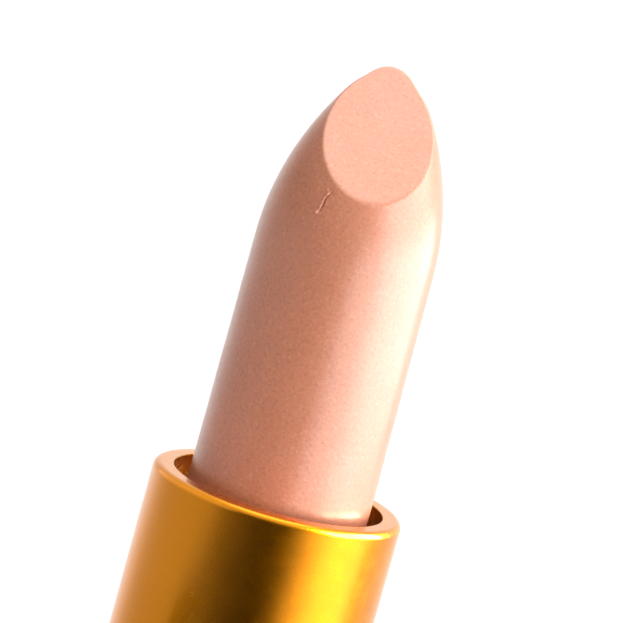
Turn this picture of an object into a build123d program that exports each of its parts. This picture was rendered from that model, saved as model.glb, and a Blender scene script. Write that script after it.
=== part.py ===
from build123d import *
import math
import os

# A twist-up lipstick in a satin aluminium case, bullet fully out and cap off.
# Millimetres. +Z is up along the case, and the origin is at the bottom centre of the base.

# Driving dimensions
CASE_R = 10.2              # base and cap, outside
SHEET = 0.45               # aluminium sheet of the base, cap and tube
BASE_TOP = 27.0            # shoulder that the cap's mouth sits on
RIM_Z = 58.0               # rolled lip of the tube
TUBE_R = 8.3               # turning tube, outside
LIP_BORE_R = 7.07          # opening in the rolled lip
LIP_DEPTH = 1.6            # how far the rolled lip reaches down inside
BULLET_R = 6.03            # lipstick, at the lip
STROKE = 31.0              # travel of the lipstick
TURNS = 1.5                # turns of the tube for the full travel
CAP_HEIGHT = 43.0
CAP_SPOT = (-26.0, -26.0)  # where the cap stands beside the case

# Running clearances, radial
TUBE_GAP = 0.15            # tube in the collar and neck
BODY_GAP = 0.10            # slotted body in the spiral
CUP_GAP = 0.07             # cup in the slotted body
LUG_GAP = 0.10             # lug in its slot and groove

# Base: shell, weight, liner, collar
SHELL_BORE_R = CASE_R - SHEET
WEIGHT_TOP = 5.0
LINER_FLOOR = 0.8
NECK_BORE_R = TUBE_R + TUBE_GAP
NECK_R = NECK_BORE_R + 0.40
COLLAR_R = NECK_R + 0.25
COLLAR_TOP = BASE_TOP + 4.5
COLLAR_HEM = 0.30
SHOULDER_Z = BASE_TOP - 0.6
SOCKET_R = 7.15
SOCKET_TOP = 10.8
LINER_RIBS = 16
LINER_RIB_WIDTH = 0.9
LINER_FOOT_T = 0.6         # ring that centres the liner's foot in the shell
LINER_SHOULDER_T = 1.4     # ring under the shell's turned-in edge
LABEL_R = 8.0
LABEL_T = 0.10
LABEL_RECESS = 0.25

# Slotted body, inside the tube
FLANGE_Z = 11.8
FLANGE_R = 7.70
FLANGE_TOP = 13.2
BODY_FLOOR_TOP = 13.5
DRAG_RING_SECTION_R = 0.26
DRAG_GROOVE_WIDTH = 0.6
DRAG_GROOVE_DEPTH = 0.40
LUG_R = 0.9
LUG_TO_CUP_TOP = 9.3
CUP_TOP = RIM_Z - 2.2
LUG_Z = CUP_TOP - LUG_TO_CUP_TOP
LUG_LOW_Z = LUG_Z - STROKE
CUP_BORE_R = 6.05
CUP_R = 6.40
BODY_BORE_R = CUP_R + CUP_GAP
BODY_R = 6.90
BODY_TOP = RIM_Z - LIP_DEPTH - 0.2
SPLINE_R = 6.20
SPLINE_KEY = 0.40
SPLINE_WIDTH = 1.2
SPLINE_COUNT = 12

# Spiral, pressed into the tube
SPIRAL_R = TUBE_R - SHEET
SPIRAL_BORE_R = BODY_R + BODY_GAP
SPIRAL_BOTTOM = FLANGE_TOP + 0.1
SPIRAL_TOP = RIM_Z - LIP_DEPTH - 0.1
GROOVE_R = SPIRAL_BORE_R + 0.50
LUG_TIP_R = GROOVE_R - 0.08
LEAD = STROKE / TURNS
TUBE_BOTTOM = 11.0
CRIMP_R = 7.1              # crimped edge under the flange
SKIRT_R = LIP_BORE_R + 0.43  # back of the lip's skirt
LIP_T = 0.55               # thickness of the rolled lip

# Lipstick bullet: a slightly tapered stick, an arched nose with a small nib and one slanted cut
TAPER = 0.0085             # radius lost per millimetre of height
NOSE_Z = RIM_Z + 16.0      # where the nose begins
NOSE_ARC = 19.4            # radius of the nose's side arc
NIB_R = 1.98               # small straight nib that ends the nose
TIP_Z = RIM_Z + 28.33      # flat top of the nib
CUT_Z = RIM_Z + 26.3       # height of the cut plane on the axis
CUT_SLOPE = 46.9           # degrees from level
CUT_TURN = 4.0             # degrees from -Y towards +X
BULLET_FOOT_Z = CUP_TOP - 9.2

# Cap
CAP_LINER_BORE_R = COLLAR_R + 0.15
CAP_WEIGHT_T = 2.5
CAP_LINER_ROOF = 0.8
CAP_LINER_LOW = 0.35       # the liner stands back from the mouth
CAP_RIBS = 6
CAP_RIB_WIDTH = 1.2
CAP_RIB_TOP = 6.0
CAP_LINER_TOP = CAP_HEIGHT - SHEET - CAP_WEIGHT_T


def turned(outline, rounds=()):
    """Revolve (radius, height) corners about Z; rounds is (corner number, radius) pairs."""
    profile = make_face(Polyline(*outline, close=True))
    for corner, radius in rounds:
        at = Vector(*outline[corner])
        picked = [v for v in profile.vertices() if (Vector(*v) - at).length < 1e-6]
        profile = fillet(picked, radius)
    return revolve(Plane.XZ * profile, Axis.Z)


def ring(inner, outer, low, high):
    return turned([(inner, low), (outer, low), (outer, high), (inner, high)])


def disc(radius, low, high):
    return turned([(0, low), (radius, low), (radius, high), (0, high)])


def around(solid, count):
    """Copies of a solid, evenly turned about Z."""
    return [Rot(0, 0, 360 / count * i) * solid for i in range(count)]


def bar(inner, outer, width, low, high):
    """A radial bar on the +X side."""
    size = (outer - inner, width, high - low)
    return Pos((inner + outer) / 2, 0, (low + high) / 2) * Box(*size)


def base_shell():
    """Drawn aluminium cup: a label recess below, the top edge turned in over the shoulder."""
    outline = [
        (0, LABEL_RECESS),
        (LABEL_R + 0.2, LABEL_RECESS),
        (LABEL_R + 0.2, 0),
        (CASE_R, 0),
        (CASE_R, BASE_TOP),
        (COLLAR_R + 0.04, BASE_TOP),
        (COLLAR_R + 0.04, SHOULDER_Z),
        (SHELL_BORE_R, SHOULDER_Z),
        (SHELL_BORE_R, LABEL_RECESS + SHEET),
        (0, LABEL_RECESS + SHEET),
    ]
    return turned(outline, [(3, 0.7), (4, 0.45), (8, 0.15)])


def shade_label():
    return disc(LABEL_R, LABEL_RECESS - LABEL_T, LABEL_RECESS)


def base_weight():
    """Steel slug on the floor of the base."""
    low = LABEL_RECESS + SHEET
    radius = SHELL_BORE_R - 0.25
    outline = [(0, low), (radius, low), (radius, WEIGHT_TOP), (0, WEIGHT_TOP)]
    return turned(outline, [(1, 0.5), (2, 0.5)])


def spline(grow):
    """Foot of the slotted body: a round core with straight keys."""
    low = WEIGHT_TOP + LINER_FLOOR
    core = disc(SPLINE_R + grow, low, FLANGE_Z)
    key = bar(SPLINE_R - 1.0, SPLINE_R + SPLINE_KEY + grow, SPLINE_WIDTH + 2 * grow, low, FLANGE_Z)
    return core + around(key, SPLINE_COUNT)


def base_liner():
    """Moulded liner: a splined socket below, ribs outside, the neck above the shoulder."""
    floor_top = WEIGHT_TOP + LINER_FLOOR
    outline = [
        (0, WEIGHT_TOP),
        (SHELL_BORE_R, WEIGHT_TOP),
        (SHELL_BORE_R, floor_top + LINER_FOOT_T),
        (NECK_R, floor_top + LINER_FOOT_T),
        (NECK_R, SHOULDER_Z - LINER_SHOULDER_T),
        (SHELL_BORE_R, SHOULDER_Z - LINER_SHOULDER_T),
        (SHELL_BORE_R, SHOULDER_Z),
        (NECK_R, SHOULDER_Z),
        (NECK_R, COLLAR_TOP - COLLAR_HEM),
        (NECK_BORE_R, COLLAR_TOP - COLLAR_HEM),
        (NECK_BORE_R, floor_top),
        (SOCKET_R, floor_top),
        (SOCKET_R, SOCKET_TOP),
        (0, SOCKET_TOP),
    ]
    body = turned(outline)
    rib = bar(NECK_R - 0.2, SHELL_BORE_R - 0.02, LINER_RIB_WIDTH, floor_top, SHOULDER_Z - 1.0)
    return body + around(rib, LINER_RIBS) - spline(0.02)


def collar():
    """Aluminium sleeve over the neck, with a bead that the cap clicks over."""
    bead_z = BASE_TOP + 2.3
    bead_half = 0.45
    bead_r = COLLAR_R + 0.10
    outline = [
        (NECK_R, SHOULDER_Z),
        (COLLAR_R, SHOULDER_Z),
        (COLLAR_R, bead_z - bead_half),
        (bead_r, bead_z - bead_half / 3),
        (bead_r, bead_z + bead_half / 3),
        (COLLAR_R, bead_z + bead_half),
        (COLLAR_R, COLLAR_TOP),
        (NECK_BORE_R, COLLAR_TOP),
        (NECK_BORE_R, COLLAR_TOP - COLLAR_HEM),
        (NECK_R, COLLAR_TOP - COLLAR_HEM),
    ]
    return turned(outline, [(6, 0.22), (7, 0.12), (3, 0.1), (4, 0.1)])


def slot_cutter():
    """Straight guide slot through the wall on the +X side, with round ends."""
    half = LUG_R + LUG_GAP
    slot = bar(BODY_BORE_R - 1.0, BODY_R + 1.0, 2 * half, LUG_LOW_Z, LUG_Z)
    reach = BODY_R - BODY_BORE_R + 2.0
    end = Rot(0, 90, 0) * Cylinder(half, reach)
    for height in (LUG_LOW_Z, LUG_Z):
        slot += Pos((BODY_R + BODY_BORE_R) / 2, 0, height) * end
    return slot


def inner_body():
    """Slotted body: splined foot, flange with a groove for the drag ring, slotted tube."""
    groove_low = (FLANGE_Z + FLANGE_TOP - DRAG_GROOVE_WIDTH) / 2
    groove_high = groove_low + DRAG_GROOVE_WIDTH
    groove_r = FLANGE_R - DRAG_GROOVE_DEPTH
    outline = [
        (0, FLANGE_Z - 0.2),
        (SPLINE_R, FLANGE_Z - 0.2),
        (SPLINE_R, FLANGE_Z),
        (FLANGE_R, FLANGE_Z),
        (FLANGE_R, groove_low),
        (groove_r, groove_low),
        (groove_r, groove_high),
        (FLANGE_R, groove_high),
        (FLANGE_R, FLANGE_TOP),
        (BODY_R, FLANGE_TOP),
        (BODY_R, BODY_TOP),
        (BODY_BORE_R, BODY_TOP),
        (BODY_BORE_R, BODY_FLOOR_TOP),
        (0, BODY_FLOOR_TOP),
    ]
    body = turned(outline, [(10, 0.12), (11, 0.12)])
    return body + spline(0) - around(slot_cutter(), 2)


def drag_ring():
    """Silicone ring that drags on the tube's bore and holds the lipstick where it is put."""
    middle_r = SPIRAL_R - 0.015 - DRAG_RING_SECTION_R
    return Pos(0, 0, (FLANGE_Z + FLANGE_TOP) / 2) * Torus(middle_r, DRAG_RING_SECTION_R)


def tube_shell():
    """Turning tube: lip rolled in at the top, edge crimped in under the flange."""
    wall_r = TUBE_R - SHEET
    crimp_top = TUBE_BOTTOM + SHEET
    outline = [
        (CRIMP_R, TUBE_BOTTOM),
        (TUBE_R, TUBE_BOTTOM),
        (TUBE_R, RIM_Z),
        (LIP_BORE_R, RIM_Z - 0.05),
        (LIP_BORE_R, RIM_Z - LIP_DEPTH),
        (SKIRT_R, RIM_Z - LIP_DEPTH),
        (SKIRT_R, RIM_Z - LIP_T),
        (wall_r, RIM_Z - LIP_T),
        (wall_r, crimp_top),
        (CRIMP_R, crimp_top),
    ]
    return turned(outline, [(1, 0.4), (2, 0.38), (3, 0.30), (4, 0.1)])


def groove_cutter():
    """Helical groove for one lug, a sector twisted about Z, open on the bore side."""
    low = LUG_LOW_Z - LUG_R - 0.2
    high = LUG_Z + LUG_R + 0.2
    middle_r = (SPIRAL_BORE_R + GROOVE_R) / 2
    rise = LEAD / (2 * math.pi * middle_r)
    half_width = (LUG_R + LUG_GAP) * math.sqrt(1 + 1 / rise**2)
    half_angle = math.degrees(half_width / middle_r)
    start = -360 * (low - LUG_Z) / LEAD
    inner = SPIRAL_BORE_R - 0.15
    spread = (-half_angle, half_angle)
    corners = [Vector(r, 0, 0).rotate(Axis.Z, a) for r in (inner, GROOVE_R) for a in spread]
    edges = [
        Line(corners[0], corners[2]),
        CenterArc((0, 0), GROOVE_R, -half_angle, 2 * half_angle),
        Line(corners[3], corners[1]),
        CenterArc((0, 0), inner, -half_angle, 2 * half_angle),
    ]
    section = Pos(0, 0, low) * (Rot(0, 0, start) * make_face(edges))
    twist = -360 * (high - low) / LEAD
    return Solid.extrude_linear_with_rotation(section.face(), (0, 0, low), (0, 0, high - low), twist)


def spiral():
    """Helix sleeve, pressed into the tube: two grooves that drive the cup's lugs."""
    sleeve = ring(SPIRAL_BORE_R, SPIRAL_R, SPIRAL_BOTTOM, SPIRAL_TOP)
    return sleeve - around(groove_cutter(), 2)


def bullet_cup():
    """Elevator cup: holds the lipstick; two lugs reach through the slots into the grooves."""
    floor_low = LUG_Z - 1.5
    outline = [
        (0, floor_low),
        (CUP_R, floor_low),
        (CUP_R, CUP_TOP),
        (CUP_BORE_R, CUP_TOP),
        (CUP_BORE_R, BULLET_FOOT_Z),
        (0, BULLET_FOOT_Z),
    ]
    cup = turned(outline, [(1, 0.3), (2, 0.12), (3, 0.12)])
    reach = LUG_TIP_R - CUP_BORE_R
    lug = Rot(0, 90, 0) * Cylinder(LUG_R, reach)
    lug = Pos(CUP_BORE_R + reach / 2 + 0.1, 0, LUG_Z) * lug
    lug = lug & disc(LUG_TIP_R, LUG_Z - 2, LUG_Z + 2)
    return cup + around(lug, 2)


def bullet():
    """Lipstick: tapered stick, arched nose ending in a nib, one slanted cut."""
    nose_r = BULLET_R - TAPER * (NOSE_Z - RIM_Z)
    lean = math.atan(TAPER)
    centre = (nose_r - NOSE_ARC * math.cos(lean), NOSE_Z - NOSE_ARC * math.sin(lean))
    arc_end = math.acos((NIB_R - centre[0]) / NOSE_ARC)
    angles = (lean, (arc_end + lean) / 2, arc_end)
    on_arc = [(centre[0] + NOSE_ARC * math.cos(a), centre[1] + NOSE_ARC * math.sin(a)) for a in angles]
    edges = [
        Line((0, BULLET_FOOT_Z), (CUP_BORE_R, BULLET_FOOT_Z)),
        Line((CUP_BORE_R, BULLET_FOOT_Z), (CUP_BORE_R, CUP_TOP)),
        Line((CUP_BORE_R, CUP_TOP), on_arc[0]),
        ThreePointArc(*on_arc),
        Line(on_arc[2], (NIB_R, TIP_Z)),
        Line((NIB_R, TIP_Z), (0, TIP_Z)),
        Line((0, TIP_Z), (0, BULLET_FOOT_Z)),
    ]
    stick = revolve(Plane.XZ * make_face(edges), Axis.Z)
    block = Pos(0, 0, 20) * Box(60, 60, 40)
    cut = Pos(0, 0, CUT_Z) * Rot(0, 0, CUT_TURN) * Rot(CUT_SLOPE, 0, 0) * block
    return stick - cut


def stand_beside(solid):
    return Pos(*CAP_SPOT, 0) * solid


def cap_shell():
    """Drawn aluminium cap, standing on its mouth."""
    outline = [
        (SHELL_BORE_R, 0),
        (CASE_R, 0),
        (CASE_R, CAP_HEIGHT),
        (0, CAP_HEIGHT),
        (0, CAP_HEIGHT - SHEET),
        (SHELL_BORE_R, CAP_HEIGHT - SHEET),
    ]
    return stand_beside(turned(outline, [(0, 0.12), (1, 0.2), (2, 0.7), (5, 0.25)]))


def cap_liner():
    """Moulded cap liner with short ribs that grip the collar's bead."""
    outline = [
        (CAP_LINER_BORE_R, CAP_LINER_LOW),
        (SHELL_BORE_R, CAP_LINER_LOW),
        (SHELL_BORE_R, CAP_LINER_TOP),
        (0, CAP_LINER_TOP),
        (0, CAP_LINER_TOP - CAP_LINER_ROOF),
        (CAP_LINER_BORE_R, CAP_LINER_TOP - CAP_LINER_ROOF),
    ]
    body = turned(outline, [(0, 0.2), (2, 0.5)])
    rib = bar(CAP_LINER_BORE_R - 0.03, SHELL_BORE_R - 0.1, CAP_RIB_WIDTH, CAP_LINER_LOW + 0.55, CAP_RIB_TOP)
    return stand_beside(body + around(rib, CAP_RIBS))


def cap_weight():
    """Steel disc between the cap's liner and its crown."""
    radius = SHELL_BORE_R - 0.6
    return stand_beside(disc(radius, CAP_LINER_TOP, CAP_HEIGHT - SHEET))


PIECES = [
    base_shell,
    shade_label,
    base_weight,
    base_liner,
    collar,
    inner_body,
    drag_ring,
    tube_shell,
    spiral,
    bullet_cup,
    bullet,
    cap_shell,
    cap_liner,
    cap_weight,
]

os.makedirs("parts", exist_ok=True)
for piece in PIECES:
    export_step(piece(), f"parts/{piece.__name__}.step")
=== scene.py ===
import math

import bmesh
import bpy
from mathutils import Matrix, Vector, noise


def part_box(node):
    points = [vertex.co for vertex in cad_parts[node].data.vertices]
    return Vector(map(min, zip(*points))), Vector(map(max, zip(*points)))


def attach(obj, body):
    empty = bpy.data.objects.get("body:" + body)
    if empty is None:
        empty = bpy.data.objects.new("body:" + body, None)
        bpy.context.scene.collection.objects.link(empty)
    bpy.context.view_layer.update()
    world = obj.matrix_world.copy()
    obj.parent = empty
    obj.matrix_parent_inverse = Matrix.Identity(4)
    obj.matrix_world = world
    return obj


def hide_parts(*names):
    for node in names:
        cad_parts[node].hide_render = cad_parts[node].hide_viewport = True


# Looks for a twist-up lipstick: satin gold aluminium case, shimmering wax bullet.
# Lengths here are millimetres and are turned into metres where Blender gets them.

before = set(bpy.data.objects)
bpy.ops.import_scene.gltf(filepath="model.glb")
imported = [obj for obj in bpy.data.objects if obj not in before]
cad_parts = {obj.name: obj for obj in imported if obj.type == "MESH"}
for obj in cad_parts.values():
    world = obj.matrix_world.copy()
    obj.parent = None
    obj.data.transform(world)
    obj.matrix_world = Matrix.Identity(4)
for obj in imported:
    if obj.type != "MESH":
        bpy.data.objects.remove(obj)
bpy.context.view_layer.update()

MM = 0.001


def reach(node):
    """(outer radius, lowest z, highest z) in mm of a node that is round about a vertical axis."""
    low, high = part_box(node)
    return (high.x - low.x) / 2 / MM, low.z / MM, high.z / MM


# Sizes taken from the frame
TUBE_R, TUBE_LOW, _ = reach("tube_shell")
BASE_R, _, BASE_TOP = reach("base_shell")
COLLAR_R, COLLAR_LOW, COLLAR_TOP = reach("collar")
CAP_R, _, CAP_TOP = reach("cap_shell")
FOOT_R, BULLET_FOOT, _ = reach("bullet")
CUP_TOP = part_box("bullet_cup")[1].z / MM
CAP_X = sum(corner.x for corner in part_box("cap_shell")) / 2 / MM
CAP_Y = sum(corner.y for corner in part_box("cap_shell")) / 2 / MM

# Sheet metal
RIM = 58.0  # top of the tube's lip above the table
SHEET = 0.45
RING_STEPS = 256
CORNER_STEPS = 8
STRAIGHT = 1e-4  # a corner that turns less than this, in radians, isn't rounded
ON_AXIS = 1e-6  # a point nearer to the axis than this is one vertex, not a ring

# Tube: the sheet is rolled over at the lip and down inside, and crimped in at the foot
LIP_BORE = 7.0
LIP_DEPTH = 1.6
LIP_ROUND = 0.48
LIP_WALL = 0.43
LIP_TOP_WALL = 0.55
CRIMP_BORE = 7.1

# Base
LABEL_RECESS_R = 8.2
LABEL_RECESS = 0.25
BASE_FLOOR = 0.7
SHOULDER_BORE = 9.14

# Collar: a sleeve with its top edge turned in, and a bead that the cap clicks over
SLEEVE_INSET = 0.10
SLEEVE_BORE = 8.85
COLLAR_BORE = 8.45
COLLAR_LIP = 0.3
BEAD_UP = 2.3
BEAD_FOOT = 0.45
BEAD_FLAT = 0.15

# Lipstick bullet, heights above the rim
STICK_R = 6.03
TAPER = 0.0085
LEAN = 0.11  # how far the foot stands to the right of the axis
NOSE_Z = 15.92
NOSE_ARC = 19.4
NIB_R = 1.98
NIB_BLEND = 0.10
TIP_Z = 28.36
CUT_Z = 26.16
CUT_SLOPE = math.tan(math.radians(47.5))
CUT_TURN = math.radians(4.0)
CUT_MIDDLE_Y = -1.9  # where the rings over the cut close
CUT_BELOW = 10.0  # the cut is above this height everywhere
HALVINGS = 40
SOFT_EDGE = 0.16

# How finely the bullet is divided: columns round it, rows up the side, steps over the cut
COARSE_COLUMNS = 260
FINE_COLUMNS = 80
COARSE_ROWS = 90
FINE_ROWS = 120
FINE_ROWS_FROM = 0.80
EDGE_STEPS = 5
CUT_RINGS = 60


# ---------------------------------------------------------------- turned metal

def rounded(outline, rounds):
    """Points of a closed (radius, height) outline with its corners rounded.

    Each point is (r, z, normal into it, normal out of it); the two differ at a sharp corner."""
    count = len(outline)
    points = []
    for i, corner in enumerate(outline):
        here = Vector(corner)
        into = (here - Vector(outline[i - 1])).normalized()
        out = (Vector(outline[(i + 1) % count]) - here).normalized()
        normal_in = Vector((into.y, -into.x))
        normal_out = Vector((out.y, -out.x))
        radius = rounds.get(i, 0.0)
        turn = into.angle_signed(out)
        if radius == 0.0 or abs(turn) < STRAIGHT:
            points.append((here.x, here.y, normal_in, normal_out))
            continue
        back = radius * math.tan(abs(turn) / 2)
        start = here - into * back
        side = 1.0 if normal_in.dot(out) < 0 else -1.0
        centre = start - normal_in * radius * side
        for k in range(CORNER_STEPS + 1):
            bend = normal_in.slerp(normal_out, k / CORNER_STEPS)
            spot = centre + bend * radius * side
            points.append((spot.x, spot.y, bend, bend))
    return points


def as_object(name, bm):
    """The finished mesh as a smooth-shaded object in the scene."""
    mesh = bpy.data.meshes.new(name)
    bm.to_mesh(mesh)
    bm.free()
    mesh.shade_smooth()
    piece = bpy.data.objects.new(name, mesh)
    bpy.context.collection.objects.link(piece)
    return piece


def turned(name, outline, rounds, at=(0.0, 0.0)):
    """A turned piece: the outline swept round the vertical axis through at, with exact normals."""
    points = rounded(outline, rounds)
    angles = [2 * math.pi * s / RING_STEPS for s in range(RING_STEPS)]
    spokes = [(math.cos(a), math.sin(a)) for a in angles]
    bm = bmesh.new()
    rows = []
    for r, z, _, _ in points:
        if r < ON_AXIS:
            spots = [(at[0], at[1])]
        else:
            spots = [(at[0] + r * x, at[1] + r * y) for x, y in spokes]
        rows.append([bm.verts.new((x * MM, y * MM, z * MM)) for x, y in spots])

    normals = []
    for i, row in enumerate(rows):
        j = (i + 1) % len(rows)
        after = rows[j]
        if len(row) == 1 and len(after) == 1:
            continue
        start, end = points[i][3], points[j][2]
        for s in range(RING_STEPS):
            t = (s + 1) % RING_STEPS
            around = ((row, start, s), (row, start, t), (after, end, t), (after, end, s))
            corners = []
            for ring, normal, step in around:
                if len(ring) > 1:
                    x, y = spokes[step]
                    corners.append((ring[step], Vector((normal.x * x, normal.x * y, normal.y))))
                elif not corners or corners[-1][0] is not ring[0]:
                    corners.append((ring[0], Vector((0, 0, normal.y))))
            bm.faces.new([vert for vert, _ in corners])
            normals += [normal.normalized() for _, normal in corners]
    piece = as_object(name, bm)
    piece.data.normals_split_custom_set(normals)
    return piece


def make_tube():
    """Turning tube: the sheet rolls over at the lip and down inside."""
    wall = TUBE_R - SHEET
    skirt = LIP_BORE + LIP_WALL
    outline = [
        (CRIMP_BORE, TUBE_LOW), (TUBE_R, TUBE_LOW), (TUBE_R, RIM), (LIP_BORE, RIM),
        (LIP_BORE, RIM - LIP_DEPTH), (skirt, RIM - LIP_DEPTH),
        (skirt, RIM - LIP_TOP_WALL), (wall, RIM - LIP_TOP_WALL),
        (wall, TUBE_LOW + SHEET), (CRIMP_BORE, TUBE_LOW + SHEET),
    ]
    rounds = {0: 0.1, 1: 0.4, 2: LIP_ROUND, 3: 0.06, 4: 0.12, 5: 0.1, 9: 0.1}
    return turned("tube", outline, rounds)


def make_base():
    """Drawn base cup with a label recess below and its edge turned in at the shoulder."""
    bore = BASE_R - SHEET
    outline = [
        (0.0, LABEL_RECESS), (LABEL_RECESS_R, LABEL_RECESS), (LABEL_RECESS_R, 0.0), (BASE_R, 0.0),
        (BASE_R, BASE_TOP), (SHOULDER_BORE, BASE_TOP), (SHOULDER_BORE, COLLAR_LOW),
        (bore, COLLAR_LOW), (bore, BASE_FLOOR), (0.0, BASE_FLOOR),
    ]
    return turned("base", outline, {1: 0.06, 2: 0.12, 3: 0.7, 4: 0.45, 5: 0.08, 8: 0.15})


def make_collar():
    """Collar ring with the rounded bead that the cap clicks over."""
    sleeve = COLLAR_R - SLEEVE_INSET
    bead = BASE_TOP + BEAD_UP
    outline = [
        (SLEEVE_BORE, COLLAR_LOW), (sleeve, COLLAR_LOW), (sleeve, bead - BEAD_FOOT),
        (COLLAR_R, bead - BEAD_FLAT), (COLLAR_R, bead + BEAD_FLAT), (sleeve, bead + BEAD_FOOT),
        (sleeve, COLLAR_TOP), (COLLAR_BORE, COLLAR_TOP),
        (COLLAR_BORE, COLLAR_TOP - COLLAR_LIP), (SLEEVE_BORE, COLLAR_TOP - COLLAR_LIP),
    ]
    rounds = {2: 0.15, 3: 0.18, 4: 0.18, 5: 0.15, 6: 0.22, 7: 0.12}
    return turned("collar_ring", outline, rounds)


def make_cap():
    """Drawn cap, standing on its mouth."""
    bore = CAP_R - SHEET
    outline = [
        (bore, 0.0), (CAP_R, 0.0), (CAP_R, CAP_TOP),
        (0.0, CAP_TOP), (0.0, CAP_TOP - SHEET), (bore, CAP_TOP - SHEET),
    ]
    return turned("cap", outline, {0: 0.12, 1: 0.2, 2: 0.7, 5: 0.25}, at=(CAP_X, CAP_Y))


# ---------------------------------------------------------------- lipstick bullet

def bullet_radius(z):
    """Radius of the uncut bullet at height z above the rim."""
    if z <= NOSE_Z:
        return STICK_R - TAPER * z
    lean = math.atan(TAPER)
    centre_r = STICK_R - TAPER * NOSE_Z - NOSE_ARC * math.cos(lean)
    centre_z = NOSE_Z - NOSE_ARC * math.sin(lean)
    arched = centre_r + math.sqrt(NOSE_ARC**2 - (z - centre_z) ** 2)
    return (arched + NIB_R) / 2 + math.hypot((arched - NIB_R) / 2, NIB_BLEND)


def cut_height(x, y):
    """Height of the slanted cut over a point; the small flat tip limits it."""
    toward = x * math.sin(CUT_TURN) - y * math.cos(CUT_TURN)
    return min(CUT_Z - CUT_SLOPE * toward, TIP_Z)


def side_top(a):
    """Height at which the side meets the cut at azimuth a, by halving."""
    low, high = CUT_BELOW, TIP_Z
    for _ in range(HALVINGS):
        middle = (low + high) / 2
        r = bullet_radius(middle)
        if middle < cut_height(r * math.cos(a), r * math.sin(a)):
            low = middle
        else:
            high = middle
    return low


# The nick in the side: a short gouge with a burr beside it and crumbs of wax at its ends
NICK_TURN = math.radians(-90 - 23.0)
NICK_Z = 19.55
NICK_LENGTH = 1.1
NICK_LEAN = math.radians(14)
NICK_COLUMNS = 0.16  # half the turn, in radians, that the fine columns cover
NICK_REACH = (1.2, 1.6)  # nothing is raised or cut farther away than this, across and up


def bump(x, width):
    return math.exp(-(x / width) ** 2)


def nick(a, z):
    """How far the nick raises (or, below zero, lowers) the surface, mm."""
    across = (a - NICK_TURN) * bullet_radius(NICK_Z)
    up = z - NICK_Z
    if abs(across) > NICK_REACH[0] or abs(up) > NICK_REACH[1]:
        return 0.0
    along = up * math.cos(NICK_LEAN) + across * math.sin(NICK_LEAN)
    wobble = 0.05 * math.sin(along * 5)
    beside = across * math.cos(NICK_LEAN) - up * math.sin(NICK_LEAN) + wobble
    window = bump(along, NICK_LENGTH / 2) * (1 if abs(along) < NICK_LENGTH else 0)
    gouge = -0.16 * bump(beside, 0.055) * window
    burr = 0.05 * bump(beside + 0.12, 0.07) * window
    crumbs = 0.13 * bump(along + 0.72, 0.13) * bump(beside + 0.06, 0.10)
    crumbs += 0.09 * bump(along - 0.62, 0.12) * bump(beside + 0.10, 0.05)
    crumbs += 0.07 * bump(along - 0.80, 0.07) * bump(beside + 0.30, 0.06)
    return gouge + burr + crumbs


def waviness(x, y, z):
    """Slight unevenness of the moulded wax, mm."""
    spot = Vector((x, y, z))
    slow = noise.noise(spot * 0.35) * 0.016
    fine = noise.noise(spot * 1.5 + Vector((7, 3, 1))) * 0.0035
    return slow + fine


WAVE_MARGIN = 0.010  # taken off the radius where the waves are, to make room for them
WAVE_FADE = 2.0  # height above the cup over which the waves and the lean set in


def side_point(a, z):
    """A point of the side, with the wax's waves, the nick and the lean of the foot."""
    r = bullet_radius(z)
    if z < CUP_TOP - RIM:
        r = min(FOOT_R, r)
    x, y = r * math.cos(a), r * math.sin(a)
    fade = min(1.0, max(0.0, (z - (CUP_TOP - RIM)) / WAVE_FADE))
    r += (waviness(x, y, z) - WAVE_MARGIN) * fade + nick(a, z)
    aside = LEAN * max(0.0, 1 - max(0.0, z) / NOSE_Z) * fade
    return Vector((r * math.cos(a) + aside, r * math.sin(a), z))


def bullet_column(a, shares):
    """Points from the foot up the side, over the soft edge and in over the cut, at azimuth a."""
    top = side_top(a)
    foot = BULLET_FOOT - RIM
    side_end = top - SOFT_EDGE
    column = [side_point(a, foot + (side_end - foot) * share) for share in shares]

    edge_r = bullet_radius(top)
    corner = Vector((edge_r * math.cos(a), edge_r * math.sin(a), top))
    middle = Vector((0.0, CUT_MIDDLE_Y))
    inward = (middle - corner.xy).normalized() * SOFT_EDGE
    inner = Vector((corner.x + inward.x, corner.y + inward.y, 0))
    inner.z = cut_height(inner.x, inner.y)
    start = column[-1].copy()
    for k in range(1, EDGE_STEPS + 1):
        t = k / EDGE_STEPS
        column.append(start * (1 - t) ** 2 + corner * 2 * t * (1 - t) + inner * t * t)

    for k in range(1, CUT_RINGS):
        t = k / CUT_RINGS
        x = inner.x + (middle.x - inner.x) * t
        y = inner.y + (middle.y - inner.y) * t
        uneven = 0.006 * noise.noise(Vector((x, y, 5)) * 1.1)
        column.append(Vector((x, y, cut_height(x, y) + uneven)))
    return column


def spaced(low, high, count):
    return [low + (high - low) * i / count for i in range(count)]


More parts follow.
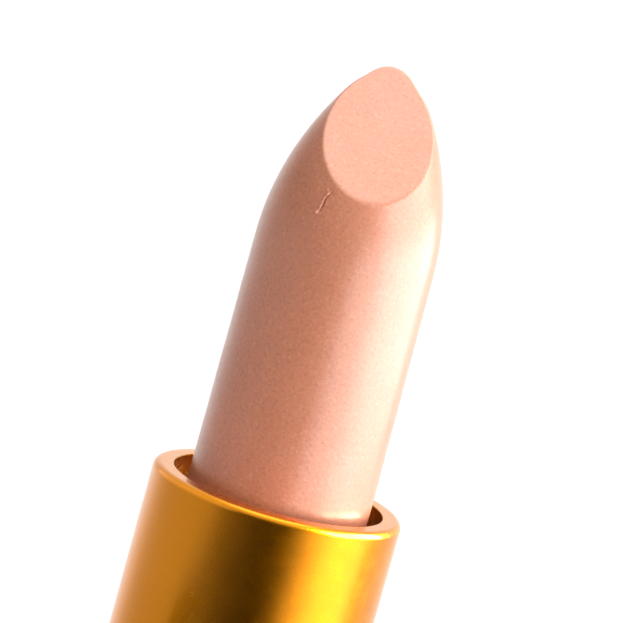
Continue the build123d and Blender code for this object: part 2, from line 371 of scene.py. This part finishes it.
def make_bullet():
    """Side as a grid that ends on the cut's edge, a soft edge, then rings closing over the cut."""
    nick_start, nick_end = NICK_TURN - NICK_COLUMNS, NICK_TURN + NICK_COLUMNS
    azimuths = spaced(-math.pi * 1.5, nick_start, COARSE_COLUMNS)
    azimuths += spaced(nick_start, nick_end, FINE_COLUMNS)
    azimuths += spaced(nick_end, math.pi * 0.5, COARSE_COLUMNS)
    shares = spaced(0.0, FINE_ROWS_FROM, COARSE_ROWS)
    shares += spaced(FINE_ROWS_FROM, 1.0, FINE_ROWS) + [1.0]
    bm = bmesh.new()
    columns = []
    for a in azimuths:
        column = bullet_column(a, shares)
        columns.append([bm.verts.new((p.x * MM, p.y * MM, (p.z + RIM) * MM)) for p in column])
    centre_z = cut_height(0, CUT_MIDDLE_Y)
    top_vert = bm.verts.new((0, CUT_MIDDLE_Y * MM, (centre_z + RIM) * MM))
    foot_vert = bm.verts.new((0, 0, BULLET_FOOT * MM))
    for i, column in enumerate(columns):
        after = columns[(i + 1) % len(columns)]
        for low in range(len(column) - 1):
            bm.faces.new((column[low], after[low], after[low + 1], column[low + 1]))
        bm.faces.new((column[-1], after[-1], top_vert))
        bm.faces.new((after[0], column[0], foot_vert))
    return as_object("lipstick", bm)


# ---------------------------------------------------------------- materials

class Tree:
    """A node tree, with short calls for the nodes used here."""

    def __init__(self, tree):
        self.tree = tree

    def add(self, kind, **settings):
        node = self.tree.nodes.new(kind)
        for key, value in settings.items():
            setattr(node, key, value)
        return node

    def link(self, source, target):
        self.tree.links.new(source, target)

    def fill(self, node, pairs):
        """Each (input, value) of the node is linked where the value is a socket, and set where not."""
        for key, value in pairs:
            if isinstance(value, bpy.types.NodeSocket):
                self.link(value, node.inputs[key])
            else:
                node.inputs[key].default_value = value

    def math(self, operation, first, second=0.0):
        node = self.add("ShaderNodeMath", operation=operation)
        self.fill(node, ((0, first), (1, second)))
        return node.outputs[0]

    def vector(self, operation, *values):
        node = self.add("ShaderNodeVectorMath", operation=operation)
        self.fill(node, enumerate(values))
        return node.outputs[0]

    def parts(self, vector):
        """The X, Y and Z of a vector, as the outputs of one node."""
        node = self.add("ShaderNodeSeparateXYZ")
        self.link(vector, node.inputs[0])
        return node.outputs

    def camera_ray(self):
        return self.add("ShaderNodeLightPath").outputs["Is Camera Ray"]


# Most noise stays between these two, so they are stretched to the whole of a range
NOISE_LOW, NOISE_HIGH = 0.3, 0.7


class Nodes(Tree):
    """A new material's node tree."""

    def __init__(self, name):
        self.material = bpy.data.materials.new(name)
        self.material.use_nodes = True
        super().__init__(self.material.node_tree)
        self.shader = self.tree.nodes["Principled BSDF"]
        self.output = self.tree.nodes["Material Output"]
        self.place = self.add("ShaderNodeTexCoord").outputs["Object"]

    def set(self, **values):
        """Values on the shader's own sockets; spaces in a socket's name are underscores here."""
        for key, value in values.items():
            self.shader.inputs[key.replace("_", " ")].default_value = value

    def feed(self, source, socket):
        self.link(source, self.shader.inputs[socket])

    def noise(self, scale, detail, roughness=0.5):
        node = self.add("ShaderNodeTexNoise")
        pairs = (("Scale", scale), ("Detail", detail), ("Roughness", roughness), ("Vector", self.place))
        self.fill(node, pairs)
        return node.outputs["Fac"]

    def ramp(self, source, low, high, start, end):
        """source between low and high becomes start to end."""
        node = self.add("ShaderNodeMapRange")
        limits = (("From Min", low), ("From Max", high), ("To Min", start), ("To Max", end))
        self.fill(node, (*limits, ("Value", source)))
        return node.outputs["Result"]

    def cloud(self, scale, detail, start=0, end=1):
        """Noise that takes up the range from start to end."""
        return self.ramp(self.noise(scale, detail), NOISE_LOW, NOISE_HIGH, start, end)

    def mix(self, share, first, second):
        """Colours are three numbers or a socket."""
        node = self.add("ShaderNodeMix", data_type="RGBA")
        first, second = (
            colour if isinstance(colour, bpy.types.NodeSocket) else (*colour, 1.0)
            for colour in (first, second)
        )
        self.fill(node, ((0, share), (6, first), (7, second)))
        return node.outputs[2]

    def bump(self, height, strength, distance):
        node = self.add("ShaderNodeBump")
        pairs = (("Strength", strength), ("Distance", distance * MM), ("Height", height))
        self.fill(node, pairs)
        return node.outputs["Normal"]


# Colours are linear RGB, and the scales of noise are per metre
GOLD_DEEP = (0.76, 0.255, 0.0010)
GOLD_PALE = (0.80, 0.275, 0.0016)
# Painted shade: a darker, more amber gold for the inside of the bore, where the lip shades it
GOLD_BORE_SHADE = (0.66, 0.27, 0.002)
BORE_SHADE_R = 7.04  # inside this radius, above the base, the tube's gold is painted darker and more amber: painted shade in the bore

WAX_DEEP = (0.60, 0.228, 0.128)
WAX_PALE = (0.64, 0.248, 0.142)
WAX_DARK_GRAIN = (0.49, 0.172, 0.095)
WAX_LIGHT_GRAIN = (0.74, 0.330, 0.205)
MICA = (0.78, 0.40, 0.27)
FLECK_SIZE = 0.075  # of a cell that may hold a fleck
FLECK_FILL = 0.45  # radius of a fleck in its cell, in cells
FLECK_SHARE = 0.003  # of the cells that do hold one
FLECK_LEAN = 0.3
FLECK_METALLIC = 0.4

STEEL_DARK = (0.50, 0.51, 0.53)
STEEL_PALE = (0.60, 0.61, 0.62)
PLASTIC_SHADE = 0.9  # the darker of a plastic's two shades, as a share of its colour
PLASTIC_PATCHY = 0.04  # how far its roughness goes up and down


def satin_gold():
    """Bead-blasted, gold anodised aluminium: soft reflections and a thin clear oxide, with painted
    shade inside the bore.
    """
    n = Nodes("satin_gold")
    n.set(Metallic=1.0, Coat_Weight=0.36, Coat_Roughness=0.10, Coat_IOR=1.5)
    outside = n.mix(n.cloud(180, 4), GOLD_DEEP, GOLD_PALE)
    # Painted shade: inside the bore and above the base, the gold is mixed to the darker bore colour
    spot = n.parts(n.place)
    squares = [n.math("POWER", spot[axis], 2.0) for axis in "XY"]
    radius = n.math("SQRT", n.math("ADD", *squares))
    near_axis = n.math("LESS_THAN", radius, BORE_SHADE_R * MM)
    above_base = n.math("GREATER_THAN", spot["Z"], BASE_TOP * MM)
    inside = n.math("MULTIPLY", near_axis, above_base)
    n.feed(n.mix(inside, outside, GOLD_BORE_SHADE), "Base Color")
    n.feed(n.cloud(900, 3, 0.25, 0.29), "Roughness")
    n.feed(n.bump(n.noise(9000, 2), strength=0.05, distance=0.02), "Normal")
    return n.material


def wax():
    """Nude-peach wax with fine mica shimmer: a few tiny facets that lean at random."""
    n = Nodes("lipstick_wax")
    n.set(IOR=1.6, Coat_Weight=0.50, Coat_IOR=1.5, Coat_Roughness=0.28)
    n.set(Subsurface_Weight=0.10, Subsurface_Scale=0.0008, Subsurface_Radius=(1.0, 0.35, 0.2))
    n.shader.subsurface_method = "RANDOM_WALK"

    cells = n.add("ShaderNodeTexVoronoi")
    n.fill(cells, (("Scale", 1000 / FLECK_SIZE), ("Vector", n.place)))
    random_colour = cells.outputs["Color"]
    chance = n.add("ShaderNodeSeparateColor")
    n.link(random_colour, chance.inputs[0])
    chosen = n.math("GREATER_THAN", chance.outputs[0], 1 - FLECK_SHARE)
    in_fleck = n.math("LESS_THAN", cells.outputs["Distance"], FLECK_FILL)
    fleck = n.math("MULTIPLY", chosen, in_fleck)

    lean = n.add("ShaderNodeVectorMath", operation="SCALE")
    n.link(n.vector("SUBTRACT", random_colour, (0.5, 0.5, 0.5)), lean.inputs[0])
    n.link(n.math("MULTIPLY", fleck, FLECK_LEAN), lean.inputs["Scale"])
    surface = n.bump(n.noise(4200, 4, 0.6), strength=0.35, distance=0.05)
    n.feed(n.vector("NORMALIZE", n.vector("ADD", surface, lean.outputs[0])), "Normal")

    dark_grain = n.ramp(n.noise(5200, 3, 0.6), 0.50, 0.68, 0, 0.75)
    light_grain = n.ramp(n.noise(4300, 3, 0.6), 0.54, 0.70, 0, 0.55)
    body = n.mix(n.cloud(350, 4), WAX_DEEP, WAX_PALE)
    body = n.mix(dark_grain, body, WAX_DARK_GRAIN)
    body = n.mix(light_grain, body, WAX_LIGHT_GRAIN)
    n.feed(n.mix(fleck, body, MICA), "Base Color")
    n.feed(n.math("MULTIPLY", fleck, FLECK_METALLIC), "Metallic")
    n.feed(n.cloud(1500, 3, 0.30, 0.36), "Roughness")
    return n.material


def plastic(name, colour, roughness, grain):
    """Moulded plastic; grain is the strength of its surface texture."""
    n = Nodes(name)
    n.set(IOR=1.49)
    darker = tuple(c * PLASTIC_SHADE for c in colour)
    n.feed(n.mix(n.cloud(260, 3), darker, colour), "Base Color")
    limits = (roughness - PLASTIC_PATCHY, roughness + PLASTIC_PATCHY)
    n.feed(n.cloud(1200, 2, *limits), "Roughness")
    n.feed(n.bump(n.noise(6000, 2), strength=grain, distance=0.02), "Normal")
    return n.material


def steel():
    """Zinc-plated steel, slightly uneven."""
    n = Nodes("plated_steel")
    n.set(Metallic=1.0)
    n.feed(n.mix(n.noise(150, 3), STEEL_DARK, STEEL_PALE), "Base Color")
    n.feed(n.cloud(700, 3, 0.28, 0.42), "Roughness")
    n.feed(n.bump(n.noise(3000, 2), strength=0.2, distance=0.02), "Normal")
    return n.material


# ---------------------------------------------------------------- stage and light

FLOOR_R = 4.0  # metres
FLOOR_STEPS = 64
FLOOR_DROP = 0.05  # keeps the floor from coinciding with the undersides that stand on it
FLOOR_GLOW = 0.46  # to the camera only, so that the floor is as white as the backdrop
BACKDROP = 1.4  # the world's brightness where the camera sees it


def make_floor():
    """Plain pale floor. It lights the object softly from below but isn't mirrored in the metal."""
    spot = (0, 0, -FLOOR_DROP * MM)
    bpy.ops.mesh.primitive_circle_add(
        vertices=FLOOR_STEPS, radius=FLOOR_R, fill_type="NGON", location=spot)
    floor = bpy.context.object
    floor.name = "floor"
    n = Nodes("pale_floor")
    n.set(Roughness=0.9)
    n.feed(n.mix(n.noise(3, 2), (0.48, 0.48, 0.48), (0.52, 0.52, 0.52)), "Base Color")
    glow = n.add("ShaderNodeEmission")
    n.link(n.math("MULTIPLY", n.camera_ray(), FLOOR_GLOW), glow.inputs["Strength"])
    both = n.add("ShaderNodeAddShader")
    n.link(n.shader.outputs[0], both.inputs[0])
    n.link(glow.outputs[0], both.inputs[1])
    n.link(both.outputs[0], n.output.inputs["Surface"])
    floor.data.materials.append(n.material)
    floor.visible_glossy = False


# Brightness of the tent by compass direction: 0 is in front of the object, 90 on its right.
# LOW is level with the table, where the upright walls mirror it, and HIGH is the tent above that.
LOW = [
    (-180, 1.50), (-145, 1.30), (-115, 0.85), (-80, 0.80), (-58, 0.74), (-40, 0.30),
    (-15, 0.11), (5, 0.03), (14, 0.05), (30, 0.65), (50, 2.20), (72, 3.30),
    (90, 3.20), (108, 1.05), (130, 1.10), (180, 1.50),
]
HIGH = [
    (-180, 1.50), (-140, 0.86), (-105, 0.12), (-80, 0.03), (-50, 0.03), (0, 0.10),
    (30, 0.22), (55, 0.70), (90, 0.90), (115, 1.00), (145, 1.25), (180, 1.45),
]
ROOF = 1.25
ZENITH = 4.0

# Where one level passes into the next, as the sine of the height above the horizon
LOW_TO_HIGH = (-0.10, 0.15)
HIGH_TO_ROOF = (0.25, 0.75)
ROOF_TO_ZENITH = (0.90, 0.97)


class Sky(Tree):
    """The world's node tree."""

    def __init__(self):
        world = bpy.data.worlds.new("studio")
        bpy.context.scene.world = world
        world.use_nodes = True
        super().__init__(world.node_tree)
        self.tree.nodes.clear()
        way = self.parts(self.add("ShaderNodeTexCoord").outputs["Generated"])
        self.height = way["Z"]
        compass = self.math("ARCTAN2", way["X"], self.math("MULTIPLY", way["Y"], -1.0))
        self.turn = self.math("MULTIPLY", compass, math.degrees(1.0))

    def mixed(self, factor, first, second):
        node = self.add("ShaderNodeMix", data_type="FLOAT")
        self.fill(node, (("Factor", factor), ("A", first), ("B", second)))
        return node.outputs["Result"]

    def passing(self, limits, below, above):
        """A smooth step by height, from one level below the limits to another above them."""
        node = self.add("ShaderNodeMapRange", interpolation_type="SMOOTHSTEP")
        low, high = limits
        self.fill(node, (("Value", self.height), ("From Min", low), ("From Max", high)))
        return self.mixed(node.outputs["Result"], below, above)

    def by_compass(self, levels):
        """A smooth curve through (compass direction, brightness) pairs from -180 to 180."""
        top = max(level for _, level in levels)
        curve = self.add("ShaderNodeFloatCurve")
        line = curve.mapping.curves[0]
        spots = [((turn + 180) / 360, level / top) for turn, level in levels]
        line.points[0].location = spots[0]
        line.points[1].location = spots[-1]
        for spot in spots[1:-1]:
            line.points.new(*spot)
        curve.mapping.update()
        share = self.math("DIVIDE", self.math("ADD", self.turn, 180.0), 360.0)
        self.link(share, curve.inputs["Value"])
        return self.math("MULTIPLY", curve.outputs[0], top)


def make_tent():
    """A light tent round the object: dark in front, bright on the right, white behind."""
    sky = Sky()
    tent = sky.passing(LOW_TO_HIGH, sky.by_compass(LOW), sky.by_compass(HIGH))
    roof = sky.passing(ROOF_TO_ZENITH, ROOF, ZENITH)
    level = sky.passing(HIGH_TO_ROOF, tent, roof)
    background = sky.add("ShaderNodeBackground")
    sky.link(sky.mixed(sky.camera_ray(), level, BACKDROP), background.inputs["Strength"])
    sky.link(background.outputs[0], sky.add("ShaderNodeOutputWorld").inputs["Surface"])


def make_soft_box(name, turn, height, distance, wide, tall, level, pieces):
    """A rectangular soft box turned toward the middle of the tube's rim, that lights only some pieces.

    turn is its compass direction in degrees, and level is how bright its face is."""
    light = bpy.data.lights.new(name, "AREA")
    light.shape = "RECTANGLE"
    light.size = wide * MM
    light.size_y = tall * MM
    light.energy = level * math.pi * light.size * light.size_y
    box = bpy.data.objects.new(name, light)
    bpy.context.collection.objects.link(box)
    angle = math.radians(turn)
    out = Vector((math.sin(angle), -math.cos(angle), 0))
    box.location = (out * distance + Vector((0, 0, height))) * MM
    aim = Vector((0, 0, RIM)) * MM - box.location
    box.rotation_mode = "QUATERNION"
    box.rotation_quaternion = aim.to_track_quat("-Z", "Y")
    box.visible_camera = False
    lit = bpy.data.collections.new(name + "_lights")
    for piece in pieces:
        lit.objects.link(piece)
    box.light_linking.receiver_collection = lit


# Soft boxes for the wax and for the gold: name, compass direction, height, distance from the axis,
# width and height of the face, and its brightness
WAX_BOXES = [
    ("wax_strip", 89, 58, 220, 400, 70, 5.8),
    ("wax_low", 30, 38, 220, 110, 90, 2.9),
    ("wax_fill", 76, 168, 200, 330, 125, 4.0),
    ("wax_rear", 115, 260, 120, 160, 100, 4.5),
]
METAL_BOXES = [
    ("metal_lamp", 88, 174, 260, 340, 240, 34.0),
    ("metal_card", -85, 140, 260, 700, 170, 0.75),
]

# The camera: distance from the rim's centre, elevation, roll, and how far the view's centre
# stands to the side of the rim and above it
CAMERA_BACK = 269.0
CAMERA_ELEVATION = math.radians(9.7)
CAMERA_ROLL = math.radians(15.6)
VIEW_SIDE = -1.05
VIEW_UP = 11.68
LENS = 240.0
SENSOR = 36.0


def make_camera():
    data = bpy.data.cameras.new("camera")
    camera = bpy.data.objects.new("camera", data)
    bpy.context.collection.objects.link(camera)
    data.lens = LENS
    data.sensor_width = SENSOR
    data.clip_start = 0.01
    data.clip_end = 20.0
    right = Vector((1, 0, 0))
    up = Vector((0, math.sin(CAMERA_ELEVATION), math.cos(CAMERA_ELEVATION)))
    back = Vector((0, -math.cos(CAMERA_ELEVATION), math.sin(CAMERA_ELEVATION)))
    spot = Vector((0, 0, RIM)) + back * CAMERA_BACK + right * VIEW_SIDE + up * VIEW_UP
    camera.location = spot * MM
    picture_right = right * math.cos(CAMERA_ROLL) + up * math.sin(CAMERA_ROLL)
    picture_up = up * math.cos(CAMERA_ROLL) - right * math.sin(CAMERA_ROLL)
    matrix = camera.matrix_world.to_3x3()
    for row in range(3):
        matrix[row] = (picture_right[row], picture_up[row], back[row])
    camera.rotation_mode = "QUATERNION"
    camera.rotation_quaternion = matrix.to_quaternion()
    bpy.context.scene.camera = camera


# ---------------------------------------------------------------- the object

def wear(node, material):
    """A carried-over CAD node gets its material."""
    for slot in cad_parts[node].material_slots:
        slot.material = material


def place(piece, body, node, material):
    """A piece made here gets its material and its body, and the CAD node that it stands in for is
    hidden.
    """
    piece.data.materials.append(material)
    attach(piece, body)
    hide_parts(node)


gold = satin_gold()
lipstick_wax = wax()
black_plastic = plastic("liner_plastic", (0.035, 0.032, 0.030), roughness=0.5, grain=0.4)
mechanism_plastic = plastic("mechanism_plastic", (0.26, 0.19, 0.05), roughness=0.35, grain=0.2)
cup_plastic = plastic("cup_plastic", (0.42, 0.20, 0.14), roughness=0.45, grain=0.2)
silicone = plastic("silicone", (0.62, 0.62, 0.60), roughness=0.6, grain=0.3)
label = plastic("label_film", (0.80, 0.46, 0.36), roughness=0.45, grain=0.2)
plated = steel()

tube = make_tube()
base = make_base()
collar = make_collar()
lipstick = make_bullet()
cap = make_cap()
cap.visible_glossy = False  # in the photograph there is no cap for the tube to mirror
place(tube, "tube", "tube_shell", gold)
place(base, "base", "base_shell", gold)
place(collar, "base", "collar", gold)
place(cap, "cap", "cap_shell", gold)
place(lipstick, "carrier", "bullet", lipstick_wax)

wear("base_liner", black_plastic)
wear("cap_liner", black_plastic)
wear("inner_body", mechanism_plastic)
wear("spiral", mechanism_plastic)
wear("bullet_cup", cup_plastic)
wear("drag_ring", silicone)
wear("shade_label", label)
wear("base_weight", plated)
wear("cap_weight", plated)

make_floor()
make_tent()
for soft_box in WAX_BOXES:
    make_soft_box(*soft_box, [lipstick])
for soft_box in METAL_BOXES:
    make_soft_box(*soft_box, [tube, base, collar, cap])
make_camera()
bpy.context.scene.view_settings.view_transform = "Standard"
